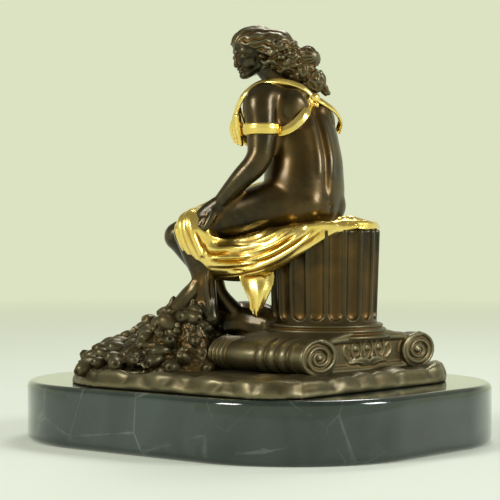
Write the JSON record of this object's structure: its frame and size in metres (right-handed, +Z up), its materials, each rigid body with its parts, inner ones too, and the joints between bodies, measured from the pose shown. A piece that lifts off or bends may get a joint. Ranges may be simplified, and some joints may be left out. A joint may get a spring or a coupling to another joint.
{
  "type": "bronze seated woman sculpture",
  "caption": "Dark bronze of a seated woman with gilt drapery on a fluted column drum and scroll capital, among fruit, fixed to a polished dark marble base.",
  "frame": {"origin": "middle of the marble base's underside", "axes": "+Z up; the figure's chest faces -Y; her left side is towards +X; the marble base is longest along Y"},
  "size_m": [0.24, 0.282, 0.2643],
  "materials": {
    "marble": "polished black-green marble with faint pale veins",
    "bronze": "dark brown patinated bronze, satin, worn brighter on the high places",
    "gilding": "bright polished gilding over the cast drapery and ribbon"
  },
  "bodies": {
    "root": {"marble_base": "marble", "bronze_group": "bronze"}
  },
  "joints": []
}
